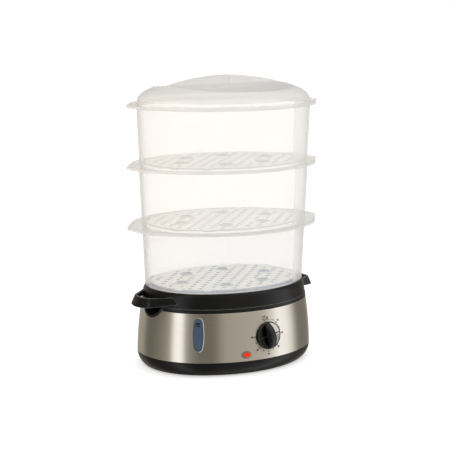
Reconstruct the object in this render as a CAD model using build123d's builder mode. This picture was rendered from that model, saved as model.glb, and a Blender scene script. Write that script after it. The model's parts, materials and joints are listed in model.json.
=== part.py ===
from build123d import *
from math import atan2, copysign, cos, degrees, hypot, radians, sin, sqrt
import os

# Electric food steamer: an oval base with a timer, a handle ring, three stacking
# baskets and a domed lid. Millimetres. +Z is up, the front with the dial faces -Y,
# and the origin is on the standing surface at the centre of the oval.
#
# Every wall follows one plan oval. "Grow" is how far a face stands outside that
# oval, the same all the way round; it is negative inside. A wall's section is drawn
# as (grow, height) points and carried round the oval.

# ---------------------------------------------------------------- driving sizes

# Plan oval, at the foot of the steel band where the base is widest
half_length = 131.3
half_width = 105.3
end_radius = 93.3

# Heights of the stack, from the standing surface up
foot_stand = 2.0
trim_height = 19.5
steel_height = 67.5
rim_height = 5.5
ring_height = 20.5
basket_pitch = 84.6
skirt_height = 6.2
dome_rise = 33.9

# Clearances
locating_gap = 0.4       # between a locating skirt and the wall that it drops into
seat_gap = 0.2           # between parts that lift off one another
skin_gap = 0.1           # between a skin or an insert and what is behind it
running_gap = 0.05       # round a turning shaft or a screw

# Steel band
steel_thickness = 0.8
steel_lean = 5.8         # how far the band draws in from its foot to its top
steel_bulge = 1.2        # how far it swells out between the two

# Bottom cover
trim_tuck = 9.1          # how far the trim draws in under the base
trim_flat = 5.0          # flat margin of the underside that joins trim and floor
cover_floor = 2.5
cover_wall = 4.4
tongue_height = 4.0
tongue_thickness = 1.6
vent_length = 34.0
vent_width = 4.0
vent_pitch = 12.0
vent_count = 6

# Feet and cover screws
foot_x = 76.0
foot_y = 58.0
foot_radius = 8.0
foot_sink = 1.0
foot_round = 0.8
screw_x = 95.0
screw_y = 30.0
screw_radius = 1.9
screw_head_radius = 3.6
screw_head_height = 2.6
screw_length = 20.0
sleeve_radius = 6.5
sleeve_height = 10.0
sleeve_web = 3.0         # what the screw's head bears on

# Housing
housing_wall = 2.2
rim_inset = 0.4          # how far the rim draws in over its height
rim_wall = 1.5
ledge_height = 2.5       # plate that carries the bowl
spout_radius = 26.0
spout_wall = 2.5
spout_drop = 11.8        # how far the spout dips below the steel's top edge
spout_proud = 0.8
spout_reach = 5.0        # how far the spout's lip stands into the bowl

# Water bowl
bowl_inset = 6.5         # from the steel's top edge in to the bowl's outer wall
bowl_wall = 2.2
bowl_underside = 38.0
bowl_floor = 2.5
bowl_flange = 2.3
boss_radius = 4.5
bay_half_width = 46.0    # timer bay in the bowl's front
bay_depth = 39.3
bay_top = 78.0

# Heater under the bowl
heater_hole_radius = 42.0
plate_radius = 48.0
plate_thickness = 1.2
seal_thickness = 2.0
seal_radius = 47.0
clamp_radius = 56.0
clamp_inner_radius = 43.0
clamp_thickness = 1.5
clamp_screw_circle = 52.0
clamp_screw_radius = 1.45
clamp_boss_radius = 3.4
element_circle = 34.0
element_radius = 3.3
element_gap = 50.0       # degrees left open between the element's two ends
pin_length = 12.0
pin_radius = 1.6
thermostat_radius = 9.0
thermostat_height = 8.0
fuse_radius = 2.2
fuse_length = 14.0
fuse_offset = 18.0

# Steam ring
steam_ring_gap = 3.8     # from the timer bay's wall in the bowl to the ring
steam_ring_wall = 2.0
steam_ring_height = 39.2
steam_notch_width = 14.0
steam_notch_height = 5.0

# Dial, timer and knob; depths and rises are taken from the steel's outer face
dial_height = 53.5
pad_half_width = 30.0
pad_half_height = 20.0
pad_back = 7.0
timer_side = 44.0
timer_depth = 20.0
timer_bush_radius = 4.3
timer_bush_front = 1.2
timer_ear_thickness = 2.0
timer_ear_height = 12.0
timer_screw_offset = 26.0
timer_screw_radius = 1.4
timer_screw_bite = 2.0
timer_screw_head = 2.8
bell_radius = 14.0
bell_height = 5.6
bell_round = 2.5
shaft_radius = 3.0
shaft_front = 9.0
shaft_back = 24.0
knob_turn = 10.8         # degrees that the blade leans to the left of upright, as set
knob_radius = 19.3
knob_stand = 0.6
knob_face_rise = 2.4
knob_rim_rise = 3.2
knob_rim_wall = 1.5
knob_round = 0.6
blade_width = 8.0
blade_rise = 14.6
blade_half_length = 18.2
blade_round = 1.5
face_thickness = 0.6
pointer_width = 1.4
pointer_rise = 0.1       # how far the index line stands above the knob's face

# Signal lamp
lamp_x = -35.7
lamp_height = 30.4
lens_length = 12.3
lens_width = 8.0
lens_border = 1.0
lens_rise = 1.8
bezel_rise = 0.9
lamp_depth = 7.0
neon_radius = 2.6
neon_length = 14.0

# Water level window
window_turn = 51.0       # degrees from -X to the way that the window faces
window_height = 60.6
bezel_width = 16.0       # at the middle, where the sides swell out most
bezel_end_width = 12.8   # where the rounded ends begin
bezel_side = 36.6        # length of the swelling sides
bezel_border = 1.2
window_rise = 1.2
window_bevel = 1.0
window_lip = 2.0         # how far the window's flange reaches behind the housing
window_clear = 0.9       # from the housing's wall back to the flange, at the window's middle
window_flange = 2.0

# Handle ring
ring_inset = 0.7         # step from the rim in to the ring's foot
ring_lean = 1.7
ring_draw = 4.5          # how far the shoulder draws in at the top
ring_shoulder = 7.0
ring_wall = 2.5
ring_mouth = 0.6         # width of the ring's top edge
ring_ledge = 3.2         # carries the lowest basket's foot
tray_ledge = 2.9         # carries the drip tray
tray_ledge_drop = 2.4
ring_shelf = 2.2
ring_skirt_depth = 4.7
ring_skirt_wall = 1.6

# Strap handles
strap_reach = 150.3      # x of the strap's lower edge at its middle
strap_shoulder_x = 144.8
strap_shoulder_y = 23.0
strap_root_x = 108.5
strap_root_y = 50.5
strap_thickness = 3.0
strap_flare = 0.42       # outward going down, mm for each mm of height
strap_round = 13.0
strap_height = 13.1
strap_end_lift = 7.6     # rise of the lower edge from the middle to the roots
strap_top_lift = 2.6

# Drip tray
tray_flange = 1.8
tray_wall = 1.8
tray_depth = 14.0
collar_radius = 26.0
collar_wall = 2.0
collar_height = 8.0
hood_radius = 32.0
hood_thickness = 1.6
hood_height = 12.0
hood_post_radius = 2.0
hood_post_circle = 29.0

# Baskets, numbered from the bottom
basket_tops = (-8.1, -4.1, -1.4)     # grow of each basket's outer wall at its flange
basket_corners = (2.2, 1.2, 0.4)     # rounding of each basket's lower edge
basket_taper = 3.7
basket_wall = 1.8
basket_foot_depth = 3.2
basket_foot_wall = 1.6
support_thickness = 2.4              # inner ledge that carries the floor
support_reach = 4.3
flange_grow = 6.9
flange_thickness = 1.6
lip_height = 2.6
lip_width = 1.6
ear_short = 2.4                      # how far the ears stop short of the straps
ear_tip_half = 25.0
ear_root_x = 108.0
ear_root_half = 72.0
ear_round = 7.0

# Perforated floors
floor_thickness = 2.0
floor_inset = 7.6                    # from the basket's outer wall in to the floor's edge
tab_width = 11.0
tab_end_turn = 29.0                  # degrees from the X axis to the tabs at each end
tab_side_turn = 32.2                 # degrees from the Y axis to the tabs at each side
tab_gap = 0.5
hole_radius = 3.25
hole_pitch_x = 11.0
hole_pitch_y = 10.0
hole_margin = 5.0
cup_radius = 8.0
cup_rim_wall = 2.4
cup_rim_height = 1.2
cup_end_x = 73.0
cup_side_x = 32.0
cup_side_y = 48.5

# Lid
lid_grow = -2.3
lid_wall = 2.0
lid_foot_depth = 3.3
lid_foot_wall = 1.6
lid_foot_root = 2.0
dome_full = 1.71                     # exponents of the dome's profile
dome_round = 1.97
dome_sections = 14
dome_turn = 87.0                     # degrees from the dome's rim to its last section
ridge_half = 6.0
scoop_start = 21.7                   # height of the scoop's floor above the skirt, at the ridge
scoop_fall = 0.077                   # slope of the scoop's floor, down and outward
groove_width = 10.4
groove_depth = 0.8
vent_hole_radius = 1.6

# Cord gland and terminal block
gland_height = 12.0
gland_radius = 5.0
gland_bore = 3.6
gland_proud = 1.5
gland_flange_radius = 7.0
gland_flange_length = 2.0
gland_boss_radius = 8.0
gland_boss_length = 16.0
block_length = 30.0
block_width = 16.0
block_height = 11.0
block_inset = 35.3                   # from the base oval's rear in to the block's middle

# ---------------------------------------------------------------- plan oval

end_centre = half_length - end_radius
side_radius = (half_length**2 + half_width**2 - 2 * half_length * end_radius) / (
    2 * (half_width - end_radius)
)
side_centre = side_radius - half_width
tangent_turn = degrees(atan2(side_centre, end_centre))   # where an end arc meets a side arc
section_plane = Plane(origin=(half_length, 0, 0), x_dir=(1, 0, 0), z_dir=(0, -1, 0))


def oval(grow):
    """Plan outline of everything that stands the given distance outside the base oval."""
    side_turn = 180 - 2 * tangent_turn
    with BuildSketch() as plan:
        with BuildLine():
            CenterArc((end_centre, 0), end_radius + grow, -tangent_turn, 2 * tangent_turn)
            CenterArc((0, -side_centre), side_radius + grow, tangent_turn, side_turn)
            CenterArc((-end_centre, 0), end_radius + grow, 180 - tangent_turn, 2 * tangent_turn)
            CenterArc((0, side_centre), side_radius + grow, 180 + tangent_turn, side_turn)
        make_face()
    return plan.sketch


def oval_path():
    """The base oval as a closed path that starts at its +X end."""
    side_turn = 180 - 2 * tangent_turn
    with BuildLine() as path:
        CenterArc((end_centre, 0), end_radius, 0, tangent_turn)
        CenterArc((0, -side_centre), side_radius, tangent_turn, side_turn)
        CenterArc((-end_centre, 0), end_radius, 180 - tangent_turn, 2 * tangent_turn)
        CenterArc((0, side_centre), side_radius, 180 + tangent_turn, side_turn)
        CenterArc((end_centre, 0), end_radius, -tangent_turn, tangent_turn)
    return path.wire()


def carried_round(section):
    """Carry a section, drawn in (grow, height), round the oval."""
    with BuildPart() as body:
        with BuildSketch(section_plane):
            add(section)
        sweep(path=oval_path())
    return body.part


def wall_section(*points):
    """A straight-sided section from its (grow, height) corners."""
    with BuildSketch() as section:
        with BuildLine():
            Polyline(*points, close=True)
        make_face()
    return section.sketch


def oval_plate(grow, low, high):
    """A flat plate of the oval's shape between two heights."""
    with BuildPart() as plate:
        with BuildSketch(Plane.XY.offset(low)):
            add(oval(grow))
        extrude(amount=high - low)
    return plate.part


def distance_outside(x, y):
    """How far a plan point lies outside the base oval."""
    x, y = abs(x), abs(y)
    beyond = (x - end_centre) * sin(radians(tangent_turn)) - y * cos(radians(tangent_turn))
    if beyond > 0:
        return hypot(x - end_centre, y) - end_radius
    return hypot(x, y + side_centre) - side_radius


def oval_spot(turn, grow):
    """Point a given distance outside the base oval, and the way out there, by its turn from +X."""
    x, y = cos(radians(turn)), sin(radians(turn))
    if abs(y) < sin(radians(tangent_turn)):
        reach = end_radius + grow
        return (reach * x + copysign(end_centre, x), reach * y), (x, y)
    reach = side_radius + grow
    return (reach * x, reach * y - copysign(side_centre, y)), (x, y)


# ---------------------------------------------------------------- shared heights and faces

trim_bottom = foot_stand
steel_bottom = trim_bottom + trim_height
steel_top = steel_bottom + steel_height
ring_bottom = steel_top + rim_height
ring_top = ring_bottom + ring_height
basket_count = len(basket_tops)
seats = [ring_top + basket_pitch * n for n in range(basket_count + 1)]

housing_depth = steel_thickness + skin_gap
rim_inner = -steel_lean - rim_inset - rim_wall
bowl_outer = -steel_lean - bowl_inset
bowl_inner = bowl_outer - bowl_wall
bowl_seat = ring_bottom - seat_gap - bowl_flange
cover_top = trim_bottom + cover_floor
spout_axis = steel_top - spout_drop + spout_radius


def steel_grow(height):
    """Grow of the steel's outer face at a height."""
    share = (height - steel_bottom) / steel_height
    return 4 * steel_bulge * share * (1 - share) - steel_lean * share


def steel_curve(depth, low, high):
    """Arc, as (grow, height), of a face that stands a depth behind the steel's outer face."""
    heights = (low, (low + high) / 2, high)
    with BuildLine() as curve:
        ThreePointArc(*((steel_grow(height) - depth, height) for height in heights))
    return curve.line


def bulging_block(depth, low, high):
    """Solid block inside a face that stands a depth behind the steel's outer face."""
    core = bowl_inner
    with BuildPart() as block:
        with BuildSketch(section_plane):
            with BuildLine():
                add(steel_curve(depth, low, high))
                Polyline(
                    (steel_grow(high) - depth, high),
                    (core, high),
                    (core, low),
                    (steel_grow(low) - depth, low),
                )
            make_face()
        sweep(path=oval_path())
        add(oval_plate(core + bowl_wall, low, high))
    return block.part


def face_plane(point, outward):
    """Plane on the steel's face, +X to the right for someone who looks at it."""
    length = hypot(*outward)
    ox, oy = outward[0] / length, outward[1] / length
    share = (point[2] - steel_bottom) / steel_height
    lean = atan2(steel_lean - 4 * steel_bulge * (1 - 2 * share), steel_height)
    normal = (ox * cos(lean), oy * cos(lean), sin(lean))
    return Plane(origin=point, x_dir=(-oy, ox, 0), z_dir=normal)


def front_plane(x, height):
    """Plane on the steel's front face."""
    depth = sqrt((side_radius + steel_grow(height)) ** 2 - x**2)
    return face_plane((x, side_centre - depth, height), (x, -depth))


def turned_plane(turn, height):
    """Plane on the steel's face where the way out has a given turn from +X."""
    spot, outward = oval_spot(turn, steel_grow(height))
    return face_plane((*spot, height), outward)


dial_plane = front_plane(0, dial_height)
lamp_plane = front_plane(lamp_x, lamp_height)
window_plane = turned_plane(180 + window_turn, window_height)


def spout_bar(radius):
    """Round bar through both ends of the base, on the axis of the filling spouts."""
    with BuildPart() as bar:
        with BuildSketch(Plane.YZ):
            with Locations((0, spout_axis)):
                Circle(radius)
        extrude(amount=half_length + spout_radius, both=True)
    return bar.part


def lens_outline(border):
    """Outline of the signal lamp's lens with a border round it."""
    with BuildSketch() as outline:
        Ellipse(lens_length / 2 + border, lens_width / 2 + border)
    return outline.sketch


def window_outline(grow):
    """Upright oval of the level window; grow is measured from the bezel's outer edge."""
    end, side = bezel_end_width / 2, bezel_side / 2
    swell = bezel_width / 2 - end
    side_arc = (side**2 + swell**2) / (2 * swell)
    end_arc = end / sqrt(1 - (side / side_arc) ** 2)
    tip = side + end_arc * (1 - side / side_arc)
    with BuildSketch() as outline:
        with BuildLine():
            ThreePointArc((end, -side), (bezel_width / 2, 0), (end, side))
            ThreePointArc((end, side), (0, tip), (-end, side))
            ThreePointArc((-end, side), (-bezel_width / 2, 0), (-end, -side))
            ThreePointArc((-end, -side), (0, -tip), (end, -side))
        make_face()
        if grow != 0:
            offset(amount=grow, kind=Kind.ARC)
    return outline.sketch


def cut_through(plane, outline, front, back):
    """A prism of the outline from a rise in front of the plane to a depth behind it."""
    with BuildPart() as prism:
        with BuildSketch(plane.offset(-back)):
            add(outline)
        extrude(amount=front + back)
    return prism.part


def outward_faces(body, plane):
    """A body's faces in order along a plane's normal, the outermost last."""
    return body.faces().sort_by(Axis(plane.origin, plane.z_dir))


# ---------------------------------------------------------------- bottom cover, feet, screws

tongue_top = steel_bottom + tongue_height
tongue_outer = steel_grow(tongue_top) - housing_depth - housing_wall - locating_gap
tongue_inner = tongue_outer - tongue_thickness
trim_radius = (trim_tuck**2 + trim_height**2) / (2 * trim_tuck)
foot_places = GridLocations(2 * foot_x, 2 * foot_y, 2, 2)
screw_places = GridLocations(2 * screw_x, 2 * screw_y, 2, 2)
sleeve_top = trim_bottom + sleeve_height
head_seat = sleeve_top - sleeve_web
gland_seat = half_width - trim_radius + sqrt(trim_radius**2 - (steel_bottom - gland_height) ** 2)

with BuildPart() as bottom_cover:
    with BuildSketch(section_plane):
        with BuildLine():
            TangentArc((0, steel_bottom), (-trim_tuck, trim_bottom), tangent=(0, -1))
            Polyline(
                (-trim_tuck, trim_bottom),
                (-trim_tuck - trim_flat, trim_bottom),
                (-trim_tuck - trim_flat, cover_top),
                (-trim_tuck - cover_floor, cover_top),
                (tongue_inner - cover_floor, cover_top + cover_wall),
                (tongue_inner, cover_top + 2 * cover_wall),
                (tongue_inner, tongue_top),
                (tongue_outer, tongue_top),
                (tongue_outer, steel_bottom),
                (0, steel_bottom),
            )
        make_face()
    sweep(path=oval_path())
    with BuildSketch(Plane.XY.offset(trim_bottom)):
        add(oval(-trim_tuck - trim_flat / 2))
    extrude(amount=cover_floor)
    with BuildSketch(Plane.XY.offset(trim_bottom)):
        with screw_places:
            Circle(sleeve_radius)
    extrude(amount=sleeve_height)
    with BuildSketch(Plane.XZ.offset(-gland_seat)):
        with Locations((0, gland_height)):
            Circle(gland_boss_radius)
    extrude(amount=gland_boss_length)
    with BuildSketch(Plane.XZ.offset(-half_width)):
        with Locations((0, gland_height)):
            Circle(gland_radius + skin_gap)
    extrude(amount=half_width / 2, mode=Mode.SUBTRACT)
    with BuildSketch(Plane.XY.offset(trim_bottom)):
        with foot_places:
            Circle(foot_radius + skin_gap)
    extrude(amount=foot_sink, mode=Mode.SUBTRACT)
    with BuildSketch(Plane.XY.offset(trim_bottom)):
        with screw_places:
            Circle(screw_head_radius + locating_gap)
    extrude(amount=head_seat - trim_bottom, mode=Mode.SUBTRACT)
    with BuildSketch(Plane.XY.offset(trim_bottom)):
        with screw_places:
            Circle(screw_radius + running_gap)
        with GridLocations(vent_pitch, 0, vent_count, 1):
            SlotOverall(vent_length, vent_width, rotation=90)
    extrude(amount=sleeve_height, mode=Mode.SUBTRACT)

with BuildPart() as rubber_feet:
    with BuildSketch():
        with foot_places:
            Circle(foot_radius)
    extrude(amount=foot_stand + foot_sink)
    fillet(rubber_feet.edges().group_by(Axis.Z)[0], foot_round)

with BuildPart() as cover_screws:
    with BuildSketch(Plane.XY.offset(head_seat - screw_head_height)):
        with screw_places:
            Circle(screw_head_radius)
    extrude(amount=screw_head_height)
    with BuildSketch(Plane.XY.offset(head_seat)):
        with screw_places:
            Circle(screw_radius)
    extrude(amount=screw_length)

# ---------------------------------------------------------------- steel band and housing

shaft_hole = timer_bush_radius + locating_gap

with BuildPart() as steel_band:
    with BuildSketch(section_plane):
        with BuildLine():
            add(steel_curve(0, steel_bottom, steel_top))
            Line((-steel_lean, steel_top), (-steel_lean - steel_thickness, steel_top))
            add(steel_curve(steel_thickness, steel_bottom, steel_top))
            Line((-steel_thickness, steel_bottom), (0, steel_bottom))
        make_face()
    sweep(path=oval_path())
    add(spout_bar(spout_radius + seat_gap), mode=Mode.SUBTRACT)
    with BuildSketch(dial_plane.offset(-pad_back)):
        Circle(shaft_hole)
    extrude(amount=2 * pad_back, mode=Mode.SUBTRACT)
    add(cut_through(lamp_plane, lens_outline(skin_gap), pad_back, pad_back), mode=Mode.SUBTRACT)
    window_hole = window_outline(skin_gap - bezel_border)
    add(cut_through(window_plane, window_hole, pad_back, pad_back), mode=Mode.SUBTRACT)

housing_top = steel_grow(steel_top) - housing_depth
wall_depth = housing_depth + housing_wall
wall_top = bowl_seat - ledge_height
with BuildPart() as housing_shell:
    with BuildSketch(section_plane):
        with BuildLine():
            add(steel_curve(housing_depth, steel_bottom, steel_top))
            Polyline(
                (housing_top, steel_top),
                (-steel_lean, steel_top),
                (-steel_lean - rim_inset, ring_bottom),
                (rim_inner, ring_bottom),
                (rim_inner, bowl_seat),
                (bowl_outer + locating_gap, bowl_seat),
                (bowl_outer + locating_gap, wall_top),
                (steel_grow(wall_top) - wall_depth, wall_top),
            )
            add(steel_curve(wall_depth, steel_bottom, wall_top))
            Line((-wall_depth, steel_bottom), (-housing_depth, steel_bottom))
        make_face()
    sweep(path=oval_path())
    add(spout_bar(spout_radius - spout_wall), mode=Mode.SUBTRACT)

with BuildPart() as spout_liners:
    add(spout_bar(spout_radius))
    add(spout_bar(spout_radius - spout_wall), mode=Mode.SUBTRACT)
    add(bulging_block(-spout_proud, steel_bottom, ring_bottom), mode=Mode.INTERSECT)
    add(oval_plate(bowl_inner - spout_reach, steel_bottom, ring_top), mode=Mode.SUBTRACT)

with BuildPart() as timer_pad:
    with BuildSketch(dial_plane.offset(-pad_back)):
        Rectangle(2 * pad_half_width, 2 * pad_half_height)
    extrude(amount=pad_back)
    add(bulging_block(housing_depth, steel_bottom, steel_top), mode=Mode.INTERSECT)

with BuildPart() as base_housing:
    add(housing_shell.part)
    add(spout_liners.part)
    add(timer_pad.part)
    with BuildSketch(dial_plane.offset(-pad_back)):
        Circle(timer_bush_radius + skin_gap)
    extrude(amount=pad_back, mode=Mode.SUBTRACT)
    with BuildSketch(dial_plane.offset(-pad_back)):
        with GridLocations(2 * timer_screw_offset, 0, 2, 1):
            Circle(timer_screw_radius + running_gap)
    extrude(amount=timer_screw_bite + running_gap, mode=Mode.SUBTRACT)
    add(cut_through(lamp_plane, lens_outline(skin_gap), pad_back, pad_back), mode=Mode.SUBTRACT)
    add(cut_through(window_plane, window_hole, pad_back, pad_back), mode=Mode.SUBTRACT)

# ---------------------------------------------------------------- lamp and level window

with BuildPart() as lamp_bezel:
    with BuildSketch(lamp_plane.offset(skin_gap)):
        add(lens_outline(lens_border))
        add(lens_outline(-lens_border), mode=Mode.SUBTRACT)
    extrude(amount=bezel_rise)

with BuildPart() as lamp_lens:
    with BuildSketch(lamp_plane.offset(-lamp_depth)):
        add(lens_outline(-lens_border - skin_gap))
    extrude(amount=lamp_depth + lens_rise)
    fillet(outward_faces(lamp_lens, lamp_plane)[-1].edges(), lens_border)
    with BuildSketch(lamp_plane.offset(-lamp_depth)):
        Circle(neon_radius + skin_gap)
    extrude(amount=lamp_depth - bezel_rise, mode=Mode.SUBTRACT)

with BuildPart() as neon_lamp:
    with BuildSketch(lamp_plane.offset(-bezel_rise - seat_gap - neon_length)):
        Circle(neon_radius)
    extrude(amount=neon_length)

with BuildPart() as window_bezel:
    with BuildSketch(window_plane.offset(skin_gap)):
        add(window_outline(0))
        add(window_outline(-bezel_border), mode=Mode.SUBTRACT)
    extrude(amount=bezel_rise)
    chamfer(outward_faces(window_bezel, window_plane)[-1].edges(), bezel_rise / 2)

window_back = housing_depth + housing_wall + window_clear
with BuildPart() as level_window:
    with BuildSketch(window_plane.offset(-window_back)):
        add(window_outline(-bezel_border - skin_gap))
    extrude(amount=window_back + window_rise)
    chamfer(outward_faces(level_window, window_plane)[-1].edges(), window_bevel)
    with BuildSketch(window_plane.offset(-window_back - window_flange)):
        add(window_outline(window_lip - bezel_border))
    extrude(amount=window_flange)

# ---------------------------------------------------------------- water bowl

bay_front = bay_depth - half_width          # y of the bay's back wall
bay_centre = (bay_front - half_width) / 2
heater_top = bowl_underside - seal_thickness
clamp_top = heater_top - plate_thickness
clamp_places = PolarLocations(clamp_screw_circle, 3, start_angle=90)


def bay_block(grow, low, high):
    """The timer bay's space, grown sideways and inward."""
    with BuildPart() as bay:
        with BuildSketch(Plane.XY.offset(low)):
            with Locations((0, bay_centre + grow / 2)):
                Rectangle(2 * (bay_half_width + grow), bay_depth + grow)
        extrude(amount=high - low)
    return bay.part


with BuildPart() as bowl_inside:
    add(oval_plate(bowl_inner, bowl_underside + bowl_floor, ring_bottom))
    add(bay_block(bowl_wall, bowl_underside, bay_top + bowl_wall), mode=Mode.SUBTRACT)

with BuildPart() as water_bowl:
    add(oval_plate(bowl_outer, bowl_underside, bowl_seat))
    add(oval_plate(rim_inner - seat_gap, bowl_seat, bowl_seat + bowl_flange))
    add(bay_block(0, bowl_underside, bay_top), mode=Mode.SUBTRACT)
    add(bowl_inside.part, mode=Mode.SUBTRACT)
    add(spout_bar(spout_radius + locating_gap), mode=Mode.SUBTRACT)
    with BuildSketch(Plane.XY.offset(sleeve_top + seat_gap)):
        with screw_places:
            Circle(boss_radius)
    extrude(amount=bowl_underside - sleeve_top - seat_gap)
    with BuildSketch(Plane.XY.offset(sleeve_top)):
        with screw_places:
            Circle(screw_radius + running_gap)
    extrude(amount=screw_length, mode=Mode.SUBTRACT)
    with BuildSketch(Plane.XY.offset(clamp_top)):
        with clamp_places:
            Circle(clamp_boss_radius)
    extrude(amount=bowl_underside - clamp_top)
    with BuildSketch(Plane.XY.offset(clamp_top)):
        with clamp_places:
            Circle(clamp_screw_radius + running_gap)
    extrude(amount=bowl_underside - clamp_top, mode=Mode.SUBTRACT)
    with BuildSketch(Plane.XY.offset(bowl_underside)):
        Circle(heater_hole_radius)
    extrude(amount=bowl_floor, mode=Mode.SUBTRACT)

# ---------------------------------------------------------------- heater

with BuildPart() as heater_seal:
    with BuildSketch(Plane.XY.offset(heater_top)):
        Circle(seal_radius)
        Circle(heater_hole_radius, mode=Mode.SUBTRACT)
    extrude(amount=seal_thickness)

with BuildPart() as heater_plate:
    with BuildSketch(Plane.XY.offset(clamp_top)):
        Circle(plate_radius)
    extrude(amount=plate_thickness)

with BuildPart() as heater_clamp:
    with BuildSketch(Plane.XY.offset(clamp_top - clamp_thickness)):
        Circle(clamp_radius)
        Circle(clamp_inner_radius, mode=Mode.SUBTRACT)
        with clamp_places:
            Circle(clamp_screw_radius + running_gap, mode=Mode.SUBTRACT)
    extrude(amount=clamp_thickness)

with BuildPart() as clamp_screws:
    with BuildSketch(Plane.XY.offset(clamp_top - 2 * clamp_thickness)):
        with clamp_places:
            Circle(2 * clamp_screw_radius)
    extrude(amount=clamp_thickness)
    with BuildSketch(Plane.XY.offset(clamp_top - clamp_thickness)):
        with clamp_places:
            Circle(clamp_screw_radius)
    extrude(amount=clamp_thickness + seal_thickness)

element_height = clamp_top - element_radius
with BuildPart() as heating_element:
    with BuildLine(Plane.XY.offset(element_height)) as element_line:
        CenterArc((0, 0), element_circle, 90 + element_gap / 2, 360 - element_gap)
    with BuildSketch(Plane(element_line.line @ 0, z_dir=element_line.line % 0)):
        Circle(element_radius)
    sweep(path=element_line.line)
    with BuildSketch(Plane.XY.offset(element_height - pin_length)):
        with PolarLocations(element_circle, 2, 90 - element_gap / 2, element_gap, endpoint=True):
            Circle(pin_radius)
    extrude(amount=pin_length)

with BuildPart() as thermostat:
    with BuildSketch(Plane.XY.offset(clamp_top - thermostat_height)):
        Circle(thermostat_radius)
    extrude(amount=thermostat_height)

with BuildPart() as thermal_fuse:
    with BuildSketch(Plane.YZ.offset(-fuse_length / 2)):
        with Locations((-fuse_offset, clamp_top - fuse_radius)):
            Circle(fuse_radius)
    extrude(amount=fuse_length)

with BuildPart() as steam_ring:
    steam_ring_radius = half_width - bay_depth - bowl_wall - steam_ring_gap
    with BuildSketch(Plane.XY.offset(bowl_underside + bowl_floor + seat_gap)):
        Circle(steam_ring_radius)
        Circle(steam_ring_radius - steam_ring_wall, mode=Mode.SUBTRACT)
    extrude(amount=steam_ring_height)
    with BuildSketch(Plane.XY.offset(bowl_underside + bowl_floor)):
        with PolarLocations(steam_ring_radius, 4, start_angle=45):
            Rectangle(steam_ring_wall * 4, steam_notch_width)
    extrude(amount=steam_notch_height, mode=Mode.SUBTRACT)

# ---------------------------------------------------------------- timer and knob

with BuildPart() as timer_body:
    with BuildSketch(dial_plane.offset(-pad_back - timer_depth)):
        Rectangle(timer_side, timer_side)
    extrude(amount=timer_depth)
    with BuildSketch(dial_plane.offset(-pad_back - timer_ear_thickness)):
        Rectangle(2 * pad_half_width, timer_ear_height)
        with GridLocations(2 * timer_screw_offset, 0, 2, 1):
            Circle(timer_screw_radius + running_gap, mode=Mode.SUBTRACT)
    extrude(amount=timer_ear_thickness)
    with BuildSketch(dial_plane.offset(-pad_back)):
        Circle(timer_bush_radius)
    extrude(amount=pad_back - timer_bush_front)
    with BuildSketch(dial_plane.offset(-shaft_back - seat_gap)):
        Circle(shaft_radius + running_gap)
    extrude(amount=shaft_back, mode=Mode.SUBTRACT)

with BuildPart() as timer_bell:
    with BuildSketch(dial_plane.offset(-pad_back - timer_depth - bell_height)):
        Circle(bell_radius)
    extrude(amount=bell_height)
    fillet(outward_faces(timer_bell, dial_plane)[0].edges(), bell_round)

with BuildPart() as timer_screws:
    with BuildSketch(dial_plane.offset(-pad_back - timer_ear_thickness)):
        with GridLocations(2 * timer_screw_offset, 0, 2, 1):
            Circle(timer_screw_radius)
    extrude(amount=timer_ear_thickness + timer_screw_bite)
    with BuildSketch(dial_plane.offset(-pad_back - 2 * timer_ear_thickness)):
        with GridLocations(2 * timer_screw_offset, 0, 2, 1):
            Circle(timer_screw_head)
    extrude(amount=timer_ear_thickness)

with BuildPart() as timer_shaft:
    with BuildSketch(dial_plane.offset(-shaft_back)):
        Circle(shaft_radius)
    extrude(amount=shaft_back + shaft_front)

knob_across = dial_plane.x_dir * cos(radians(knob_turn)) + dial_plane.y_dir * sin(radians(knob_turn))
knob_plane = Plane(origin=dial_plane.origin, x_dir=knob_across, z_dir=dial_plane.z_dir)
blade_plane = Plane(
    origin=knob_plane.origin - knob_plane.x_dir * blade_width / 2,
    x_dir=knob_plane.y_dir,
    z_dir=knob_plane.x_dir,
)

with BuildPart() as grip_blade:
    with BuildSketch(blade_plane):
        with BuildLine():
            ThreePointArc(
                (-blade_half_length, knob_face_rise),
                (0, blade_rise),
                (blade_half_length, knob_face_rise),
            )
            Polyline(
                (blade_half_length, knob_face_rise),
                (blade_half_length, knob_stand + knob_round),
                (-blade_half_length, knob_stand + knob_round),
                (-blade_half_length, knob_face_rise),
            )
        make_face()
    extrude(amount=blade_width)
    fillet(grip_blade.edges().filter_by(GeomType.CIRCLE), blade_round)

with BuildPart() as control_knob:
    with BuildSketch(dial_plane.offset(knob_stand)):
        Circle(knob_radius)
    extrude(amount=knob_rim_rise - knob_stand)
    fillet(control_knob.edges().filter_by(GeomType.CIRCLE), knob_round)
    with BuildSketch(dial_plane.offset(knob_face_rise)):
        Circle(knob_radius - knob_rim_wall)
    extrude(amount=knob_rim_rise, mode=Mode.SUBTRACT)
    add(grip_blade.part)
    with BuildSketch(dial_plane.offset(knob_stand)):
        Circle(shaft_radius + running_gap)
    extrude(amount=shaft_front + seat_gap - knob_stand, mode=Mode.SUBTRACT)

with BuildPart() as knob_face:
    with BuildSketch(knob_plane.offset(knob_face_rise)):
        Circle(knob_radius - knob_rim_wall - skin_gap)
        Rectangle(blade_width + 2 * skin_gap, 2 * knob_radius, mode=Mode.SUBTRACT)
    extrude(amount=face_thickness)
    with BuildSketch(knob_plane.offset(knob_face_rise + face_thickness / 2)):
        Rectangle(2 * knob_radius, pointer_width + 2 * skin_gap)
    extrude(amount=face_thickness, mode=Mode.SUBTRACT)

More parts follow.
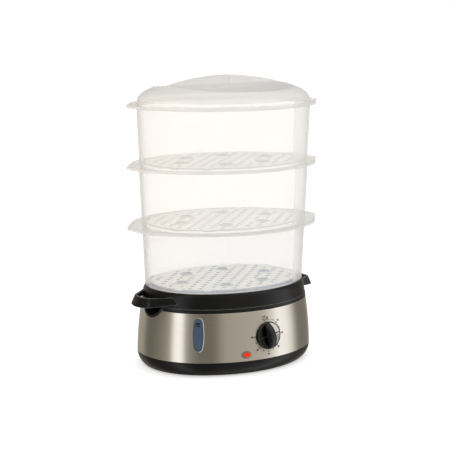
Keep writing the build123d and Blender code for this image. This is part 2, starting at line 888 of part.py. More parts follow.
with BuildPart() as knob_pointer:
    with BuildSketch(knob_plane.offset(knob_face_rise + face_thickness / 2 + skin_gap / 2)):
        Circle(knob_radius - knob_rim_wall - skin_gap)
        Rectangle(2 * knob_radius, pointer_width, mode=Mode.INTERSECT)
        Rectangle(blade_width + 2 * skin_gap, 2 * knob_radius, mode=Mode.SUBTRACT)
    extrude(amount=face_thickness / 2 - skin_gap / 2 + pointer_rise)

# ---------------------------------------------------------------- handle ring with its straps

ring_foot = ring_bottom + seat_gap
ring_outer = -steel_lean - rim_inset - ring_inset
ring_bore = ring_outer - ring_lean - ring_draw - ring_mouth
basket_ledge = ring_top - basket_foot_depth - seat_gap
tray_seat = basket_ledge - tray_ledge_drop
tray_bore = ring_bore - ring_ledge - tray_ledge
skirt_outer = bowl_inner - locating_gap
shoulder_grow = ring_outer - ring_lean
shoulder_height = ring_top - ring_shoulder
strap_base = ring_foot
strap_loft_height = strap_height + strap_top_lift


def strap_outline(inset):
    """Plan of the right-hand strap's outer face at its lower edge, drawn in by an inset."""
    with BuildSketch() as outline:
        with BuildLine():
            ThreePointArc(
                (strap_shoulder_x, -strap_shoulder_y),
                (strap_reach, 0),
                (strap_shoulder_x, strap_shoulder_y),
            )
            Polyline(
                (strap_shoulder_x, strap_shoulder_y),
                (strap_root_x, strap_root_y),
                (strap_root_x, -strap_root_y),
                (strap_shoulder_x, -strap_shoulder_y),
            )
        make_face()
        fillet(outline.vertices().group_by(Axis.X)[-1], strap_round)
        offset(amount=-inset, kind=Kind.INTERSECTION)
    return outline.sketch


def strap_block(inset):
    """The strap's flared outline, drawn in evenly and carried up."""
    with BuildPart() as block:
        for height in (0, strap_loft_height):
            with BuildSketch(Plane.XY.offset(strap_base + height)):
                add(strap_outline(inset + height * strap_flare + 0.01))
        loft(ruled=True)
    return block.part


with BuildPart() as strap:
    add(strap_block(0))
    add(strap_block(strap_thickness), mode=Mode.SUBTRACT)
    with BuildSketch(Plane.YZ):
        with BuildLine():
            ThreePointArc(
                (-strap_root_y, strap_base + strap_end_lift),
                (0, strap_base),
                (strap_root_y, strap_base + strap_end_lift),
            )
            Line(
                (strap_root_y, strap_base + strap_end_lift),
                (strap_root_y, strap_base + strap_loft_height),
            )
            ThreePointArc(
                (strap_root_y, strap_base + strap_loft_height),
                (0, strap_base + strap_height),
                (-strap_root_y, strap_base + strap_loft_height),
            )
            Line(
                (-strap_root_y, strap_base + strap_loft_height),
                (-strap_root_y, strap_base + strap_end_lift),
            )
        make_face()
    extrude(amount=2 * half_length, mode=Mode.INTERSECT)
    add(oval_plate(shoulder_grow - ring_wall / 2, ring_bottom, ring_top), mode=Mode.SUBTRACT)

with BuildPart() as handle_ring:
    with BuildSketch(section_plane):
        with BuildLine():
            Line((ring_outer, ring_foot), (shoulder_grow, shoulder_height))
            TangentArc(
                (shoulder_grow, shoulder_height),
                (shoulder_grow - ring_draw, ring_top),
                tangent=(-ring_lean, shoulder_height - ring_foot),
            )
            Polyline(
                (shoulder_grow - ring_draw, ring_top),
                (ring_bore, ring_top),
                (ring_bore, basket_ledge),
                (ring_bore - ring_ledge, basket_ledge),
                (ring_bore - ring_ledge, tray_seat),
                (tray_bore, tray_seat),
                (tray_bore, tray_seat - ring_shelf),
                (shoulder_grow - ring_wall, tray_seat - ring_shelf),
                (ring_outer - ring_wall, ring_foot + ring_shelf),
                (skirt_outer - ring_skirt_wall, ring_foot + ring_shelf),
                (skirt_outer - ring_skirt_wall, ring_foot - ring_skirt_depth),
                (skirt_outer, ring_foot - ring_skirt_depth),
                (skirt_outer, ring_foot),
                (ring_outer, ring_foot),
            )
        make_face()
    sweep(path=oval_path())
    add(strap.part)
    add(mirror(strap.part, about=Plane.YZ))
    with BuildSketch(Plane.XY.offset(ring_foot - ring_skirt_depth)):
        Rectangle(2 * half_length, 2 * spout_radius + 2 * locating_gap)
    extrude(amount=ring_skirt_depth, mode=Mode.SUBTRACT)

# ---------------------------------------------------------------- drip tray

tray_outer = ring_bore - ring_ledge - locating_gap
tray_wall_outer = tray_bore - locating_gap
tray_top = tray_seat + seat_gap + tray_flange
tray_floor = tray_top - tray_depth

with BuildPart() as drip_tray:
    add(carried_round(wall_section(
        (tray_outer, tray_top),
        (tray_wall_outer - tray_wall, tray_top),
        (tray_wall_outer - tray_wall, tray_floor),
        (tray_wall_outer, tray_floor),
        (tray_wall_outer, tray_top - tray_flange),
        (tray_outer, tray_top - tray_flange),
    )))
    add(oval_plate(tray_wall_outer - tray_wall / 2, tray_floor, tray_floor + tray_wall))
    with BuildSketch(Plane.XY.offset(tray_floor)):
        Circle(collar_radius)
    extrude(amount=collar_height)
    with BuildSketch(Plane.XY.offset(tray_floor)):
        with PolarLocations(hood_post_circle, 4, start_angle=45):
            Circle(hood_post_radius)
    extrude(amount=hood_height)
    with BuildSketch(Plane.XY.offset(tray_floor)):
        Circle(collar_radius - collar_wall)
    extrude(amount=collar_height, mode=Mode.SUBTRACT)
    with BuildSketch(Plane.XY.offset(tray_floor + hood_height)):
        Circle(hood_radius)
    extrude(amount=hood_thickness)

# ---------------------------------------------------------------- baskets and their floors

ear_tip = strap_reach - ear_short


def flange_outline(inset):
    """Plan of a basket's flange with an ear at each end, drawn in by an inset."""
    with BuildSketch() as outline:
        with BuildLine():
            Polyline(
                (ear_tip, -ear_tip_half),
                (ear_tip, ear_tip_half),
                (ear_root_x, ear_root_half),
                (-ear_root_x, ear_root_half),
                (-ear_tip, ear_tip_half),
                (-ear_tip, -ear_tip_half),
                (-ear_root_x, -ear_root_half),
                (ear_root_x, -ear_root_half),
                close=True,
            )
        make_face()
        tips = outline.vertices().group_by(Axis.X)
        fillet(tips[0] + tips[-1], ear_round)
        add(oval(flange_grow))
        if inset > 0:
            offset(amount=-inset, kind=Kind.INTERSECTION)
    return outline.sketch


def make_basket(number):
    """One steaming basket: tapered wall, locating foot, floor ledge and flange with ears."""
    top = basket_tops[number]
    base = top - basket_taper
    bore = ring_bore if number == 0 else basket_tops[number - 1] - basket_wall
    foot_outer = bore - locating_gap
    low = seats[number]
    high = seats[number + 1] - seat_gap
    foot_low = low - basket_foot_depth
    with BuildPart() as basket:
        with BuildSketch(section_plane) as section:
            add(wall_section(
                (base, low),
                (top, high),
                (top - basket_wall, high),
                (base - basket_wall, low + support_thickness),
                (base - support_reach, low + support_thickness),
                (base - support_reach, low),
                (foot_outer - basket_foot_wall, low),
                (foot_outer - basket_foot_wall, foot_low),
                (foot_outer, foot_low),
                (foot_outer, low),
            ))
            lower_edge = section.vertices().sort_by_distance((base, low, 0))[0]
            fillet(lower_edge, basket_corners[number])
        sweep(path=oval_path())
        with BuildSketch(Plane.XY.offset(high - flange_thickness)):
            add(flange_outline(0))
            add(oval(top - basket_wall / 2), mode=Mode.SUBTRACT)
        extrude(amount=flange_thickness)
        with BuildSketch(Plane.XY.offset(high - flange_thickness)):
            add(flange_outline(0))
            add(flange_outline(lip_width), mode=Mode.SUBTRACT)
        extrude(amount=flange_thickness + seat_gap + lip_height)
    return basket.part


def tab_locations(grow):
    """Eight places on an oval where the floor's tabs stand, with +X pointing outward."""
    places = []
    for middle in (0, 90, 180, 270):
        lean = tab_end_turn if middle in (0, 180) else tab_side_turn
        for turn in (middle - lean, middle + lean):
            spot, _ = oval_spot(turn, grow)
            places.append(Location((*spot, 0), (0, 0, turn)))
    return places


cup_spots = [(cup_end_x, 0), (-cup_end_x, 0)] + [
    (end * cup_side_x, side * cup_side_y) for end in (1, -1) for side in (1, -1)
]


def hole_spots(edge):
    """Staggered steam holes, clear of the floor's edge and of the egg cups."""
    columns = int(half_length / hole_pitch_x)
    rows = int(half_width / hole_pitch_y)
    spots = []
    for column in range(-columns, columns + 1):
        for row in range(-rows, rows + 1):
            x, y = column * hole_pitch_x, row * hole_pitch_y
            clear_of_edge = distance_outside(x, y) + hole_radius + hole_margin < edge
            cup_reach = cup_radius + cup_rim_wall + hole_radius
            clear_of_cups = all(hypot(x - cx, y - cy) > cup_reach for cx, cy in cup_spots)
            if (column + row) % 2 == 0 and clear_of_edge and clear_of_cups:
                spots.append((x, y))
    return spots


def make_floor(number):
    """One lift-out floor: perforated plate with six egg cups and eight resting tabs."""
    base = basket_tops[number] - basket_taper
    edge = base - floor_inset
    tab_end = base - basket_wall - tab_gap
    low = seats[number] + support_thickness + seat_gap
    with BuildPart() as plate:
        with BuildSketch(Plane.XY.offset(low)):
            add(oval(edge))
            with Locations(*tab_locations((edge + tab_end) / 2)):
                Rectangle(tab_end - edge + floor_thickness, tab_width)
            add(oval(tab_end), mode=Mode.INTERSECT)
            with Locations(*hole_spots(edge)):
                Circle(hole_radius, mode=Mode.SUBTRACT)
        extrude(amount=floor_thickness)
        with BuildSketch(Plane.XY.offset(low)):
            with Locations(*cup_spots):
                Circle(cup_radius + cup_rim_wall)
        extrude(amount=floor_thickness + cup_rim_height)
        with BuildSketch(Plane.XY.offset(low)):
            with Locations(*cup_spots):
                Circle(cup_radius)
        extrude(amount=floor_thickness + cup_rim_height, mode=Mode.SUBTRACT)
    return plate.part


# ---------------------------------------------------------------- lid

lid_seat = seats[-1]
skirt_top = lid_seat + skirt_height
lid_foot_outer = basket_tops[-1] - basket_wall - locating_gap


def dome_block(wall):
    """Smooth dome over the skirt, thinned by a wall, with a scoop cut along each side."""
    with BuildPart() as dome:
        for step in range(dome_sections):
            share = cos(radians(step * dome_turn / (dome_sections - 1)))
            height = (dome_rise - wall) * (1 - share**dome_full) ** (1 / dome_round)
            with BuildSketch(Plane.XY.offset(skirt_top + height)):
                add(scale(oval(lid_grow - wall), by=share))
        loft()
        start = skirt_top + scoop_start - wall
        with BuildSketch(Plane.YZ):
            for side in (1, -1):
                with BuildLine():
                    Polyline(
                        (side * (ridge_half - wall), start),
                        (side * half_width, start - scoop_fall * (half_width - ridge_half)),
                        (side * half_width, start + dome_rise),
                        (side * (ridge_half - wall), start + dome_rise),
                        close=True,
                    )
                make_face()
        extrude(amount=half_length, both=True, mode=Mode.SUBTRACT)
    return dome.part


with BuildPart() as lid:
    add(dome_block(0))
    add(dome_block(lid_wall), mode=Mode.SUBTRACT)
    add(carried_round(wall_section(
        (lid_grow, lid_seat),
        (lid_grow, skirt_top),
        (lid_grow - lid_wall, skirt_top),
        (lid_grow - lid_wall, lid_seat + lid_foot_root),
        (lid_foot_outer - lid_foot_wall, lid_seat + lid_foot_root),
        (lid_foot_outer - lid_foot_wall, lid_seat - lid_foot_depth),
        (lid_foot_outer, lid_seat - lid_foot_depth),
        (lid_foot_outer, lid_seat),
    )))
    with BuildSketch(Plane.XY.offset(skirt_top + scoop_start)):
        with GridLocations(0, 2 * ridge_half, 1, 2):
            Rectangle(groove_width, 2 * groove_depth)
    extrude(amount=dome_rise, mode=Mode.SUBTRACT)
    with BuildSketch(Plane.XY.offset(skirt_top + scoop_start)):
        Circle(vent_hole_radius)
    extrude(amount=dome_rise, mode=Mode.SUBTRACT)

# ---------------------------------------------------------------- cord gland, terminal block

with BuildPart() as cord_bush:
    gland_back = gland_seat - gland_boss_length
    with BuildSketch(Plane.XZ.offset(-gland_seat - gland_proud)):
        with Locations((0, gland_height)):
            Circle(gland_radius)
    extrude(amount=gland_boss_length + gland_proud)
    with BuildSketch(Plane.XZ.offset(-gland_back)):
        with Locations((0, gland_height)):
            Circle(gland_flange_radius)
    extrude(amount=gland_flange_length)
    with BuildSketch(Plane.XZ.offset(-half_width - gland_proud)):
        with Locations((0, gland_height)):
            Circle(gland_bore)
    extrude(amount=half_width / 2, mode=Mode.SUBTRACT)

with BuildPart() as terminal_block:
    block_y = half_width - block_inset
    with BuildSketch(Plane.XY.offset(cover_top)):
        with Locations((0, block_y)):
            Rectangle(block_length, block_width)
    extrude(amount=block_height)
    with BuildSketch(Plane.XY.offset(cover_top + block_height / 2)):
        with Locations((0, block_y)):
            with GridLocations(block_length / 3, 0, 3, 1):
                Rectangle(block_length / 6, block_width / 3)
    extrude(amount=block_height / 2, mode=Mode.SUBTRACT)

# ---------------------------------------------------------------- write the pieces

pieces = {
    "bottom_cover": bottom_cover.part,
    "rubber_feet": rubber_feet.part,
    "cover_screws": cover_screws.part,
    "steel_band": steel_band.part,
    "base_housing": base_housing.part,
    "lamp_bezel": lamp_bezel.part,
    "lamp_lens": lamp_lens.part,
    "neon_lamp": neon_lamp.part,
    "window_bezel": window_bezel.part,
    "level_window": level_window.part,
    "water_bowl": water_bowl.part,
    "heater_seal": heater_seal.part,
    "heater_plate": heater_plate.part,
    "heater_clamp": heater_clamp.part,
    "clamp_screws": clamp_screws.part,
    "heating_element": heating_element.part,
    "thermostat": thermostat.part,
    "thermal_fuse": thermal_fuse.part,
    "steam_ring": steam_ring.part,
    "timer_body": timer_body.part,
    "timer_bell": timer_bell.part,
    "timer_screws": timer_screws.part,
    "timer_shaft": timer_shaft.part,
    "control_knob": control_knob.part,
    "knob_face": knob_face.part,
    "knob_pointer": knob_pointer.part,
    "handle_ring": handle_ring.part,
    "drip_tray": drip_tray.part,
    "lid": lid.part,
    "cord_bush": cord_bush.part,
    "terminal_block": terminal_block.part,
}
for number in range(basket_count):
    pieces[f"basket_{number + 1}"] = make_basket(number)
    pieces[f"basket_floor_{number + 1}"] = make_floor(number)

os.makedirs("parts", exist_ok=True)
for name, piece in pieces.items():
    piece.label = name
    export_step(piece, f"parts/{name}.step")
    print(name, len(piece.solids()), piece.is_valid, round(piece.volume))
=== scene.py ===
"""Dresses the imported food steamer: finishes for every part, the printed dial, the level
window's mark, a plain studio and a camera. Metres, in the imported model's own frame."""

import json
import math

import bmesh
import bpy
from bpy.props import FloatProperty, FloatVectorProperty, PointerProperty
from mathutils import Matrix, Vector

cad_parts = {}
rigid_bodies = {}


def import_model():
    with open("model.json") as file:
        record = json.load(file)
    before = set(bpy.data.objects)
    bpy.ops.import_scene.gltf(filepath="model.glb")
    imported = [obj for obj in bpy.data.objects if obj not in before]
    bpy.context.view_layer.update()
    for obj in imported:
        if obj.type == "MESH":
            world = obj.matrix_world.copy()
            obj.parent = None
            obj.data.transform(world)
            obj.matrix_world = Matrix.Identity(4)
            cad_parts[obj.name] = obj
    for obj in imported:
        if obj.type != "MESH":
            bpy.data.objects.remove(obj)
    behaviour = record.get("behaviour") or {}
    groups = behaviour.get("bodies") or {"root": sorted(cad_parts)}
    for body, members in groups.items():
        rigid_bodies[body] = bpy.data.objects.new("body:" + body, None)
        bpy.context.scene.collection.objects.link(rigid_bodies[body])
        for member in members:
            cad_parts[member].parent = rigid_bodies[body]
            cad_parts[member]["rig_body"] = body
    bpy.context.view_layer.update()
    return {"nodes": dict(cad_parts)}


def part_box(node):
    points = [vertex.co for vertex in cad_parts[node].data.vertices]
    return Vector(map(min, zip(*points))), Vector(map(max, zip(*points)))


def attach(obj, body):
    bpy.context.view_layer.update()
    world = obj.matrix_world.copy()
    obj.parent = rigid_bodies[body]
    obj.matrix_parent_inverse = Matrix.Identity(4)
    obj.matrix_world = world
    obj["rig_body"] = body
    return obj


bl_info = {
    "name": "Food Steamer",
    "version": (1, 0, 0),
    "blender": (4, 5, 0),
    "location": "3D View > Sidebar > Steamer",
    "description": "Finishes, prints and studio for an electric food steamer",
    "category": "Object",
}

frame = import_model()
nodes = frame["nodes"]
base_body = nodes["steel_band"]["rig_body"]
band_low, band_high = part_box("steel_band")

# The base's plan oval and the curve of its steel band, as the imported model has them
half_length = band_high.x
half_width = band_high.y
end_radius = 0.0933
end_centre = half_length - end_radius
side_radius = (half_length**2 + half_width**2 - 2 * half_length * end_radius) / (
    2 * (half_width - end_radius)
)
side_centre = side_radius - half_width
band_lean = 0.0058
band_bulge = 0.0012
dial_height = 0.0535
window_height = 0.0606
window_turn = math.radians(231)
window_rise = 0.0012
knob_turn = math.radians(10.8)
print_proud = 0.00006

# Where the frosted plastic changes: down from a basket's top, up from its foot and up from
# the lid's foot, and over what height
rim_depth = 0.0046
foot_height = 0.0067
foot_blend = 0.002
dome_foot = 0.0095
rim_blend = 0.0015

# And by the way a face points: over what share of X the painted reflection of the dark card
# blurs at its edge, between what X the painted warm reflection comes in, and between what Z a
# face counts as level, for the painted shade of level faces
card_reflection_blur = 0.033
warm_from, warm_full = -0.57, -0.97
level_from, level_full = 0.985, 0.993


# ------------------------------------------------------------------ settings


def colour_setting(name, description, default):
    return FloatVectorProperty(
        name=name, description=description, default=default, subtype="COLOR", size=3, min=0, max=1
    )


def length_setting(name, description, default, low=0.0, high=10.0):
    return FloatProperty(
        name=name, description=description, default=default, min=low, max=high,
        subtype="DISTANCE", unit="LENGTH",
    )


def share_setting(name, description, default, high=1.0):
    return FloatProperty(
        name=name, description=description, default=default, min=0.0, max=high, subtype="FACTOR"
    )


class SteamerStudio(bpy.types.PropertyGroup):
    """Camera, floor and light"""

    turn: FloatProperty(
        name="Camera Turn", description="Angle round the steamer, from the front",
        default=math.radians(-36.14), subtype="ANGLE", unit="ROTATION",
    )
    rise: FloatProperty(
        name="Camera Rise", description="Angle above the horizon",
        default=math.radians(9.19), subtype="ANGLE", unit="ROTATION",
    )
    distance: length_setting("Camera Distance", "From the camera to the point it looks at", 2.0546)
    aim: FloatVectorProperty(
        name="Camera Aim", description="Point that the camera looks at",
        default=(0.00095, -0.00069, 0.1948), subtype="TRANSLATION", unit="LENGTH", size=3,
    )
    lens: FloatProperty(
        name="Lens", description="Focal length", default=115.0, subtype="DISTANCE_CAMERA", unit="CAMERA"
    )
    floor_colour: colour_setting("Floor Colour", "Pale floor", (0.9, 0.9, 0.895))
    floor_size: length_setting("Floor Size", "Length of the floor's side", 80.0, high=200.0)
    floor_glow: share_setting("Floor Glow", "Extra white of the floor as the camera sees it", 0.48)
    room_light: share_setting("Room Light", "Even light from all round", 0.78, 2.0)
    key_power: FloatProperty(
        name="Key Power", description="Soft lamp at the front left", default=11.0, unit="POWER"
    )
    fill_power: FloatProperty(
        name="Fill Power", description="Soft lamp at the right", default=7.0, unit="POWER"
    )


class SteamerMetal(bpy.types.PropertyGroup):
    """Steel band and other metal parts"""

    steel: colour_setting("Steel", "Brushed steel of the band", (0.66, 0.62, 0.55))
    steel_roughness: share_setting("Steel Roughness", "Spread of the brushing", 0.3)
    brushing: share_setting("Brushing", "How far the shine is drawn out across the brush lines", 0.95)
    steel_slope: share_setting("Steel Slope", "Upward slope that the steel's shine follows", 0.16)
    # The bright line along the steel's edges is a painted highlight
    rim_line: length_setting("Rim Line", "Width of the bright line along the steel's edges", 0.0009)


class SteamerPlastic(bpy.types.PropertyGroup):
    """Moulded plastics"""

    black: colour_setting("Black", "Ring, housing and lower trim", (0.006, 0.006, 0.0063))
    black_roughness: share_setting("Black Roughness", "Satin of the black parts", 0.3)
    clear: colour_setting("Clear", "Frosted basket plastic", (0.9, 0.88, 0.845))
    # Tone seen along a face, also used for the painted reflection of the dark card
    clear_edge: colour_setting("Clear Edge", "Clear plastic seen along its face", (0.76, 0.75, 0.73))
    line_tone: colour_setting("Line Tone", "Clear plastic along its sharp edges", (0.42, 0.42, 0.42))
    lid_tone: colour_setting("Lid Tone", "The lid's dome and the baskets' rims", (0.76, 0.74, 0.71))
    # Painted shade on the lid's level faces, such as its scoop
    scoop_tone: colour_setting("Scoop Tone", "Level faces of the lid", (0.6, 0.61, 0.63))
    # Painted warm reflection on clear plastic that faces left
    warm_tone: colour_setting("Warm Tone", "Clear plastic that faces left", (0.93, 0.84, 0.76))
    floor_tone: colour_setting("Floor Tone", "Basket floors", (0.9, 0.885, 0.86))
    # Hole walls take painted shade of what lies under a floor; under the lowest floor, in the tray's
    # blue
    over_tray: colour_setting("Over Tray", "Hole walls of the lowest floor", (0.42, 0.52, 0.64))
    over_basket: colour_setting("Over Basket", "Hole walls of the upper floors", (0.62, 0.62, 0.615))
    clear_density: share_setting("Clear Density", "How much one face hides", 0.22)
    edge_density: share_setting("Edge Density", "How much a face hides when seen along it", 0.8)
    line_density: share_setting("Line Density", "How much a sharp edge hides", 0.85)
    foot_density: share_setting("Foot Density", "How much the lowest basket hides at its foot", 0.6)
    rim_density: share_setting("Rim Density", "How much more a rim or the dome hides", 0.26)
    # Painted reflection of the dark card: how much more a face hides there
    card_density: share_setting("Card Density", "How much a face hides where the dark card shows", 0.38)
    floor_density: share_setting("Floor Density", "How much a basket floor hides", 0.8)
    clear_glow: share_setting("Clear Glow", "Light that comes through the frosted plastic", 0.09)
    floor_glow: share_setting("Floor Glow", "Light that comes through the basket floors", 0.14)
    edge_line: length_setting("Edge Line", "Width of the grey lines along sharp edges", 0.0005)
    # Which way faces point where the painted reflection of the dark card lies
    card_turn: FloatProperty(
        name="Card Turn", description="Way that clear plastic faces where the dark card shows in it",
        default=math.radians(-72), subtype="ANGLE", unit="ROTATION",
    )
    blue: colour_setting("Blue", "Drip tray", (0.12, 0.25, 0.42))


class SteamerFront(bpy.types.PropertyGroup):
    """Dial, knob, lamp and window"""

    print_colour: colour_setting("Print", "Printed marks", (0.008, 0.008, 0.008))
    number_radius: length_setting("Number Radius", "Centre of the dial to the numbers", 0.0262)
    tick_radius: length_setting("Tick Radius", "Centre of the dial to the ticks", 0.0223)
    number_height: length_setting("Number Height", "Height of the printed numbers", 0.0024)
    lamp_colour: colour_setting("Lamp", "Signal lamp's lens", (0.95, 0.03, 0.0))
    lamp_glow: share_setting("Lamp Glow", "Light that the lens gives off", 0.8, 4.0)
    window_colour: colour_setting("Window", "Tinted level window", (0.06, 0.09, 0.14))


# ------------------------------------------------------------------ finishes


def node(tree, kind, **inputs):
    """A shader node of that kind, with its inputs set or linked by name."""
    made = tree.nodes.new(kind)
    for name, value in inputs.items():
        socket = made.inputs[name.replace("_", " ")]
        if isinstance(value, bpy.types.NodeSocket):
            tree.links.new(value, socket)
        else:
            socket.default_value = value
    return made


def finish(name, colour, roughness, **sockets):
    """A new material with one Principled shader; returns (material, tree, shader)."""
    material = bpy.data.materials.new(name)
    material.use_nodes = True
    tree = material.node_tree
    shader = tree.nodes["Principled BSDF"]
    shader.inputs["Base Color"].default_value = (*colour, 1)
    shader.inputs["Roughness"].default_value = roughness
    for socket, value in sockets.items():
        shader.inputs[socket.replace("_", " ")].default_value = value
    return material, tree, shader


def place(tree, stretch=(1, 1, 1)):
    """Object coordinates in metres, stretched."""
    where = node(tree, "ShaderNodeTexCoord")
    scaled = node(tree, "ShaderNodeMapping", Vector=where.outputs["Object"], Scale=stretch)
    return scaled.outputs["Vector"]


def grain(tree, where, scale, detail=3.0, roughness=0.5):
    """Noise over the object at that scale."""
    noise = node(
        tree, "ShaderNodeTexNoise", Vector=where, Scale=scale, Detail=detail, Roughness=roughness
    )
    return noise.outputs["Fac"]


def spread(tree, value, low, high):
    """A 0 to 1 value mapped onto another range."""
    made = node(tree, "ShaderNodeMapRange", Value=value)
    made.inputs["To Min"].default_value = low
    made.inputs["To Max"].default_value = high
    return made.outputs["Result"]


def blend_colours(tree, factor, first, second):
    """Mix of two colours."""
    mix = tree.nodes.new("ShaderNodeMix")
    mix.data_type = "RGBA"
    tree.links.new(factor, mix.inputs["Factor"])
    for key, value in (("A", first), ("B", second)):
        socket = [s for s in mix.inputs if s.name == key and s.type == "RGBA"][0]
        if isinstance(value, bpy.types.NodeSocket):
            tree.links.new(value, socket)
        else:
            socket.default_value = (*value, 1)
    return [s for s in mix.outputs if s.type == "RGBA"][0]


def roughen(tree, shader, height, strength, distance=0.0005):
    """Raise or sink the surface's shading by a height."""
    bump = node(tree, "ShaderNodeBump", Height=height, Strength=strength, Distance=distance)
    tree.links.new(bump.outputs["Normal"], shader.inputs["Normal"])
    return bump


def shade(colour, factor):
    return tuple(min(1.0, part * factor) for part in colour)


def combine(tree, operation, first, second):
    """Math on two values or sockets."""
    made = tree.nodes.new("ShaderNodeMath")
    made.operation = operation
    for socket, value in zip(made.inputs, (first, second)):
        if isinstance(value, bpy.types.NodeSocket):
            tree.links.new(value, socket)
        else:
            socket.default_value = value
    return made.outputs[0]


def dot_product(tree, first, second):
    """How far two vectors point the same way."""
    made = tree.nodes.new("ShaderNodeVectorMath")
    made.operation = "DOT_PRODUCT"
    tree.links.new(first, made.inputs[0])
    tree.links.new(second, made.inputs[1])
    return made.outputs["Value"]


def ranged(tree, value, start, end):
    """0 where a value is at the start and 1 where it is at the end, and even between."""
    made = node(tree, "ShaderNodeMapRange", Value=value)
    made.inputs["From Min"].default_value = start
    made.inputs["From Max"].default_value = end
    return made.outputs["Result"]


def surface_normal(tree):
    """The surface's normal, whole and in its parts."""
    normal = tree.nodes.new("ShaderNodeNewGeometry").outputs["Normal"]
    return normal, node(tree, "ShaderNodeSeparateXYZ", Vector=normal).outputs


def step_along(tree, axis, start, end):
    """0 before a place on an axis and 1 past it."""
    where = tree.nodes.new("ShaderNodeTexCoord").outputs["Object"]
    parts = node(tree, "ShaderNodeSeparateXYZ", Vector=where).outputs
    return ranged(tree, parts[axis], start, end)


def steady_slope(tree, slope):
    """The surface's normal with one upward slope, so that reflected bands stand upright."""
    _, parts = surface_normal(tree)
    level = node(tree, "ShaderNodeCombineXYZ", X=parts["X"], Y=parts["Y"], Z=slope)
    unit = node(tree, "ShaderNodeVectorMath", Vector=level.outputs["Vector"])
    unit.operation = "NORMALIZE"
    return unit.outputs["Vector"]


def edge_mask(tree, radius, turn=0.12):
    """1 along sharp edges, 0 on the faces between them."""
    rounded = node(tree, "ShaderNodeBevel", Radius=radius)
    normal, _ = surface_normal(tree)
    return ranged(tree, dot_product(tree, rounded.outputs["Normal"], normal), 1.0, 1.0 - turn)


def brushed_steel(settings):
    material, tree, shader = finish(
        "brushed_steel", settings.steel, settings.steel_roughness, Metallic=1.0,
        Anisotropic=settings.brushing, Anisotropic_Rotation=0.25,
    )
    lines = grain(tree, place(tree, (6, 6, 2600)), 1.0, 4.0, 0.7)
    cloud = grain(tree, place(tree), 22.0, 2.0)
    tone = blend_colours(tree, lines, shade(settings.steel, 0.9), shade(settings.steel, 1.08))
    # Painted highlight: the steel is lighter along its edges
    tone = blend_colours(tree, edge_mask(tree, settings.rim_line), tone, shade(settings.steel, 1.5))
    tree.links.new(tone, shader.inputs["Base Color"])
    rough = spread(tree, cloud, settings.steel_roughness - 0.03, settings.steel_roughness + 0.04)
    tree.links.new(rough, shader.inputs["Roughness"])
    bump = roughen(tree, shader, lines, 0.06, 0.0001)
    tree.links.new(steady_slope(tree, settings.steel_slope), bump.inputs["Normal"])
    tangent = tree.nodes.new("ShaderNodeTangent")
    tangent.direction_type = "RADIAL"
    tangent.axis = "Z"
    tree.links.new(tangent.outputs["Tangent"], shader.inputs["Tangent"])
    return material


def moulded(name, colour, roughness, texture=0.12, scale=900.0, edge=0.0,
            edge_highlight_tone=(0.22, 0.22, 0.22), **sockets):
    """Moulded plastic or rubber with a fine skin, slight cloudiness and, if asked, painted highlights
    along its edges.
    """
    material, tree, shader = finish(name, colour, roughness, **sockets)
    skin = grain(tree, place(tree), scale, 2.0)
    cloud = grain(tree, place(tree), 30.0, 2.0)
    tone = blend_colours(tree, cloud, shade(colour, 0.88), shade(colour, 1.12))
    if edge > 0:
        # Painted highlight: the edges are lighter
        tone = blend_colours(tree, edge_mask(tree, edge), tone, edge_highlight_tone)
    tree.links.new(tone, shader.inputs["Base Color"])
    tree.links.new(
        spread(tree, cloud, max(0.02, roughness - 0.05), roughness + 0.05), shader.inputs["Roughness"]
    )
    roughen(tree, shader, skin, texture, 0.0002)
    return material


def plain_metal(name, colour, roughness, scale=400.0):
    """Metal with fine grain and uneven shine."""
    material, tree, shader = finish(name, colour, roughness, Metallic=1.0)
    fine = grain(tree, place(tree), scale, 3.0)
    tone = blend_colours(tree, fine, shade(colour, 0.9), shade(colour, 1.06))
    tree.links.new(tone, shader.inputs["Base Color"])
    tree.links.new(
        spread(tree, fine, roughness * 0.8, roughness * 1.25), shader.inputs["Roughness"]
    )
    roughen(tree, shader, fine, 0.08, 0.0001)
    return material


